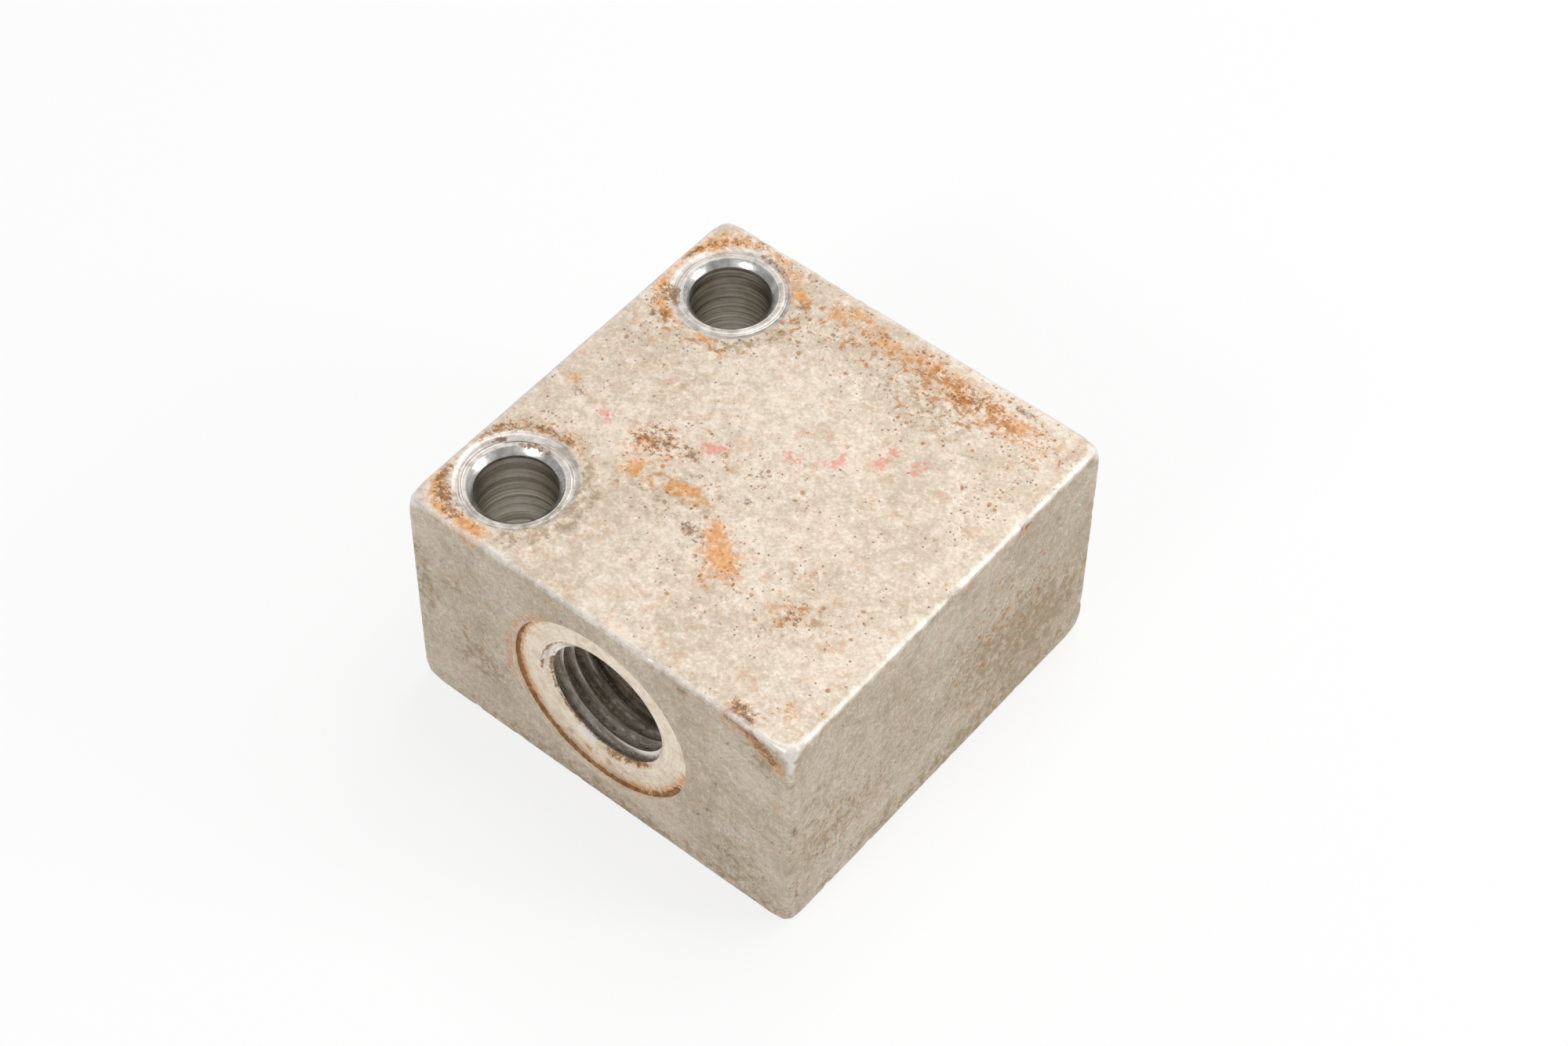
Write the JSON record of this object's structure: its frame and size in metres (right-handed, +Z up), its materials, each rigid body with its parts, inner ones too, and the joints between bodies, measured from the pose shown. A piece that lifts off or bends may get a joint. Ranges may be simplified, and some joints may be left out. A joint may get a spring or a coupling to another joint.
{
  "type": "mounting block",
  "caption": "Square machined aluminium block with a row of screw holes along one edge and a spot-faced pipe-thread port in one side.",
  "frame": {"origin": "centre of the bottom face, on the surface that the block rests on", "axes": "+Z up through the thickness; the port opens towards -Y; the screw holes stand along the -X edge"},
  "size_m": [0.04, 0.04, 0.024],
  "materials": {
    "machined_aluminium": "machined, dulled by age, bare and bright at the edges, screw seats and holes, with rust-brown stains"
  },
  "bodies": {
    "root": {"mounting_block": "machined_aluminium"}
  },
  "joints": []
}
